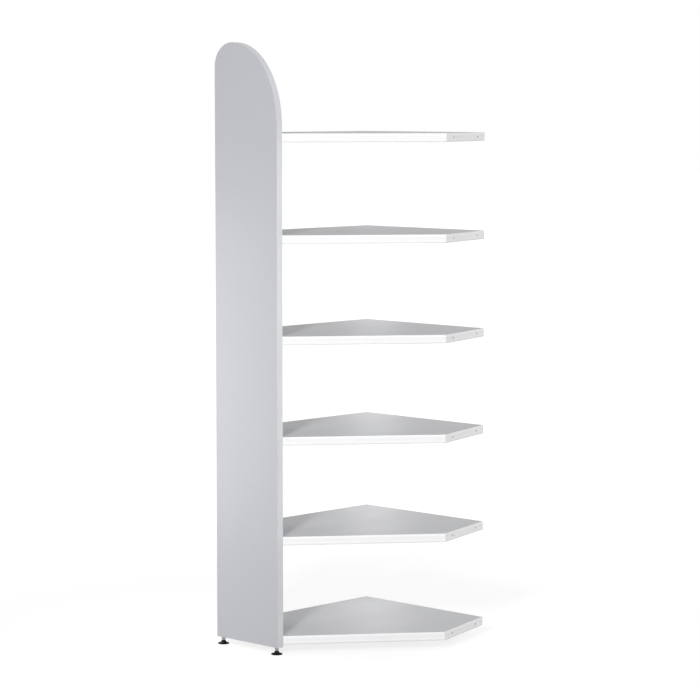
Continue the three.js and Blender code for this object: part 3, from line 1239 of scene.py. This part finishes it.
@dataclass
class SidePanel:
    """The round-topped side panel and the band over its front, top and back."""

    site: Site
    shelf: Shelf
    feet: Sequence[LevellingFoot]
    depth: float = 0.312
    thickness: float = 0.025
    back_radius: float = 0.085
    front_height: float = 0.290
    off_cut: float = 0.004
    # A darker copy of the shelves' melamine, whose lower level is painted shade.
    board_finish: Melamine = Melamine(name="melamine_panel_shaded", level=0.450, blue=0.07)
    core_finish: Chipboard = Chipboard()
    # Its level copies the panel melamine's darker level, painted shade included.
    scraped_finish: EdgeBand = EdgeBand(
        name="edge_band_scraped", level=0.452, blue=0.07, height=2.14, painted_shading_tones=((0.0, 1.0), (1.0, 1.0))
    )
    banding: Banding = Banding(
        rounding=0.0005,
        finish=EdgeBand(
            name="edge_band_panel",
            level=0.812,
            blue=0.05,
            height=2.14,
            # Painted shade: the panel's band is darker towards the floor and along its curve.
            painted_shading_tones=(
                (0.0, 0.80), (0.09, 0.81), (0.25, 0.91), (0.58, 1.0),
                (0.75, 0.99), (0.9, 0.88), (1.0, 0.93),
            ),
        ),
    )

    def outline(self, inset: float, bottom: float, top: float) -> list[Point]:
        """The panel seen from its inner side.

        Args:
            inset: how far the outline is drawn in, apart from its lower edge.
            bottom: the height of its lower edge.
            top: the height of the finished panel's top.

        Returns:
            Its (y, z) corners, counter-clockwise.
        """
        crest_y = -self.back_radius
        reach = self.depth - self.back_radius - inset
        rise = self.front_height - inset
        radius = self.back_radius - inset
        back = arc((crest_y, top - self.back_radius), radius, 0.0, 90.0, steps=32)
        front = arc((crest_y, top - self.front_height), reach, 90.0, 180.0, steps=80, rise=rise)
        return [(inset - self.depth, bottom), (-inset, bottom), *back, *front[1:]]

    def _holes(self, low: float) -> list[Piece]:
        """The holes for the shelves' bolts and the stepped ones for the feet.

        Args:
            low: where the feet's holes start.

        Returns:
            The cutting tools.
        """
        cam, bolt = self.shelf.cam, self.shelf.bolt
        tools = []
        for level in self.site.levels:
            height = self.site.shelf_height(level) + cam.bolt_height
            for lock in self.shelf.panel_locks():
                hole = rod(bolt.hole_radius, -bolt.hole_depth, OVERRUN, segments=24)
                place = pointing_along(y=lock.y, z=height)
                tools.append(shape(f"bolt_hole_{level}_{lock.depth.value}", hole, place))
        for foot in self.feet:
            place = Matrix.Translation((foot.x, foot.y, 0.0))
            for radius, top in foot.hole_steps:
                tools.append(shape(f"foot_hole_{foot.depth.value}", rod(radius, low, top), place))
        return tools

    def build(self) -> None:
        """Models the drilled board and its band and puts them in place."""
        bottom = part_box("side_panel_board")[0].z
        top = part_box("side_panel_edge_band")[1].z
        thickness = self.thickness
        board_outline = self.outline(self.banding.board_set, bottom, top)
        board = shape("side_panel_decor_board", plate(board_outline, -thickness, 0.0), STOOD_UP)
        cut(board, self._holes(bottom - OVERRUN))
        dress(board, self.core_finish, sharp_above=32.0, flat=self.board_finish, axis=0)
        fit_out(board, self.site.matrix(), CARCASS, "side_panel_board", self.board_finish.slot)

        # The band is made too long, so that its cut ends stay sharp.
        low = bottom - self.off_cut
        strip = plate(self.outline(0.0, low, top), -thickness, 0.0, self.banding.rounding)
        band = shape("side_panel_banding", strip, STOOD_UP)
        hollow = self.outline(self.banding.thickness, low - OVERRUN, top)
        inner = shape("band_inside", plate(hollow, -thickness - OVERRUN, OVERRUN), STOOD_UP)
        footprint = rectangle((-thickness - OVERRUN, -self.depth - OVERRUN), (OVERRUN, OVERRUN))
        off_cut = shape("band_off_cut", plate(footprint, low - 2.0 * OVERRUN, bottom))
        cut(band, [inner, off_cut])
        dress(band, self.banding.finish, sharp_above=40.0, flat=self.scraped_finish, axis=0)
        fit_out(band, self.site.matrix(), CARCASS, "side_panel_edge_band", self.banding.finish.slot)


# The studio


@dataclass(frozen=True)
class Lamp:
    """A soft rectangular lamp that the camera doesn't see."""

    name: str
    place: Place
    aim: Place
    width: float
    height: float
    watts: float
    in_reflections: bool = True

    def build(self) -> None:
        """Adds the lamp."""
        data = bpy.data.lights.new(self.name, "AREA")
        data.shape = "RECTANGLE"
        data.size = self.width
        data.size_y = self.height
        data.energy = self.watts
        lamp = bpy.data.objects.new(self.name, data)
        lamp.location = self.place
        away = Vector(self.aim) - Vector(self.place)
        lamp.rotation_euler = away.to_track_quat("-Z", "Y").to_euler()
        lamp.visible_camera = False
        lamp.visible_glossy = self.in_reflections
        bpy.context.scene.collection.objects.link(lamp)


@dataclass
class Studio:
    """A plain pale floor, soft lamps, a white background and the photograph's camera."""

    camera_place: Place = (-6.812, -6.529, 1.943)
    camera_yaw: float = 43.977
    camera_pitch: float = -5.39
    lens: float = 136.59
    sensor_width: float = 36.0
    view_range: Point = (0.1, 200.0)
    ambient: float = 0.39
    floor_level: float = 0.96
    floor_radius: float = 60.0
    near_radius: float = 1.2
    far_radius: float = 3.0
    near_glow: float = 0.75
    glow: float = 1.1
    lamps: tuple[Lamp, ...] = (
        Lamp("key", (-7.17, -4.14, 4.15), (0.0, 0.0, 1.0), width=0.9, height=0.9, watts=480.0),
        Lamp("panel_wash", (-0.95, 0.92, 0.90), (-0.38, 0.30, 0.90), width=0.3, height=1.2, watts=4.4),
        Lamp(
            "right_fill", (5.4, -1.0, 1.3), (0.0, 0.0, 1.0),
            width=1.6, height=1.6, watts=110.0, in_reflections=False,
        ),
        Lamp("back_strip", (2.625, 2.415, 0.9), (0.0, 0.0, 0.6), width=0.2, height=1.6, watts=2.9),
    )

    def build(self) -> None:
        """Builds the stage."""
        self._world()
        self._floor()
        for lamp in self.lamps:
            lamp.build()
        self._camera()

    def _seen_directly(self, shader: Shader) -> Signal:
        """1 for rays from the camera and for sharp reflections and refractions of it.

        Args:
            shader: the shader that asks.

        Returns:
            1 or 0.
        """
        rays = [
            shader.node("ShaderNodeLightPath", output=name)
            for name in ("Is Camera Ray", "Is Glossy Ray", "Is Transmission Ray")
        ]
        total = rays[0] + rays[1] + rays[2]
        return shader.node("ShaderNodeMath", {"operation": "MINIMUM"}, {0: total, 1: 1.0})

    def _world(self) -> None:
        """White where it is seen, plain soft light for everything else."""
        shader = Shader(bpy.data.worlds.new("studio"))
        strength = self._seen_directly(shader) * (1.0 - self.ambient) + self.ambient
        inputs = {"Color": WHITE, "Strength": strength}
        bpy.context.scene.world = shader.output(shader.node("ShaderNodeBackground", None, inputs))

    def _floor(self) -> None:
        """A wide round floor: it takes shadows near the unit and is white further out."""
        shader = Shader.of_material("floor_white")
        inputs = {0: shader.place()}
        distance = shader.node("ShaderNodeVectorMath", {"operation": "LENGTH"}, inputs, "Value")
        far = distance.smooth(low=self.near_radius, high=self.far_radius)
        share = self._seen_directly(shader) * (self.near_glow + far * (1.0 - self.near_glow))
        matt = shader.node("ShaderNodeBsdfDiffuse", None, {"Color": grey(self.floor_level)})
        glow = shader.node("ShaderNodeEmission", None, {"Color": WHITE, "Strength": self.glow})
        mixed = shader.node("ShaderNodeMixShader", None, {0: share, 1: matt, 2: glow})
        disc = bmesh.new()
        bmesh.ops.create_circle(disc, cap_ends=True, radius=self.floor_radius, segments=96)
        floor = shape("floor", disc)
        floor.data.materials.append(shader.output(mixed))

    def _camera(self) -> None:
        """The photograph's camera."""
        data = bpy.data.cameras.new("camera")
        data.lens = self.lens
        data.sensor_width = self.sensor_width
        data.clip_start, data.clip_end = self.view_range
        camera = bpy.data.objects.new("camera", data)
        camera.location = self.camera_place
        yaw, pitch = math.radians(self.camera_yaw), math.radians(self.camera_pitch)
        level = math.cos(pitch)
        forward = Vector((level * math.cos(yaw), level * math.sin(yaw), math.sin(pitch)))
        camera.rotation_euler = forward.to_track_quat("-Z", "Y").to_euler()
        bpy.context.scene.collection.objects.link(camera)
        bpy.context.scene.camera = camera


def main() -> None:
    """Builds the studio, then the unit from its panel to its feet."""
    logging.basicConfig(level=logging.INFO, format="%(name)s: %(message)s")
    bpy.context.scene.view_settings.view_transform = "Standard"
    Studio().build()
    site = Site()
    shelf = Shelf(site)
    feet = [LevellingFoot(site, Depth.BACK, y=-0.020), LevellingFoot(site, Depth.FRONT, y=-0.292)]
    SidePanel(site, shelf, feet).build()
    shelf.build()
    for foot in feet:
        foot.build()


if __name__ == "__main__":
    main()
